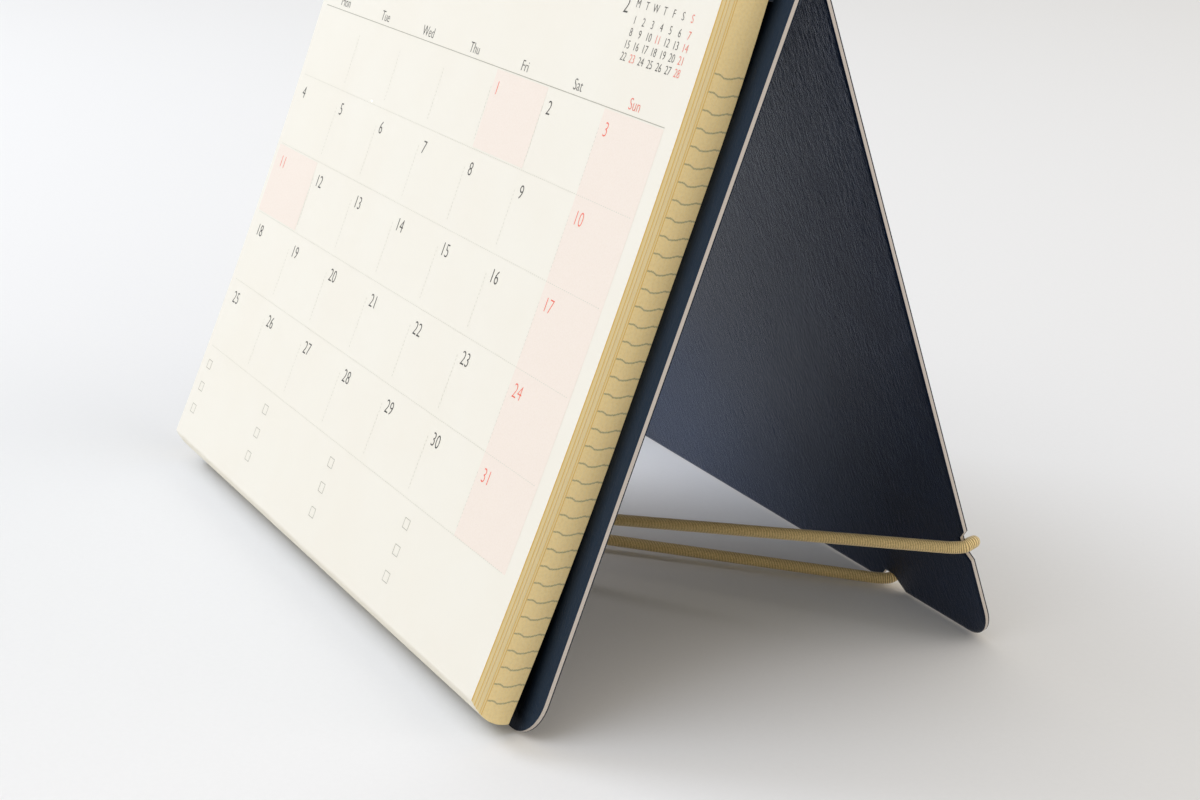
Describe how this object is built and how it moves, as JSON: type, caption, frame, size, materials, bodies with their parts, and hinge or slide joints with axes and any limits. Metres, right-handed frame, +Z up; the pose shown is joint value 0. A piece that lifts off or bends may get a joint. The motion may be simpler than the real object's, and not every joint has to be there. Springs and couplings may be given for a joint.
{
  "type": "desk calendar",
  "caption": "Tent-shaped desk calendar: a bowed page block on one of two card boards hinged at the head, held open by an elastic loop.",
  "frame": {"origin": "on the table, at the middle of the calendar's width and depth as it stands", "axes": "+X along the width to the side where the elastic hooks on, +Y from the pages to the rear board, +Z up"},
  "size_m": [0.2199, 0.1381, 0.1698],
  "materials": {
    "board_core": "raw cut grey board",
    "cover_paper": "fine leather-grain embossed paper",
    "page_paper": "matt cream paper",
    "binding_cloth": "woven book cloth",
    "elastic": "braided elastic",
    "eyelet_metal": "satin"
  },
  "bodies": {
    "front": {"front_board": "board_core", "front_face_paper": "cover_paper", "front_back_paper": "cover_paper", "page_block": "page_paper", "head_binding": "binding_cloth", "hinge_strip": "binding_cloth", "elastic_loop": "elastic", "cord_eyelets": "eyelet_metal", "cord_clip": "eyelet_metal"},
    "rear": {"rear_board": "board_core", "rear_inner_paper": "cover_paper", "rear_outer_paper": "cover_paper"}
  },
  "joints": [
    {"name": "stand_fold", "type": "hinge", "parent": "front", "child": "rear", "pos_m": [0, 0.00656, 0.16702], "axis": [-1, 0, 0], "range_deg": [0, 35], "deforming": ["elastic_loop", "hinge_strip"]}
  ]
}
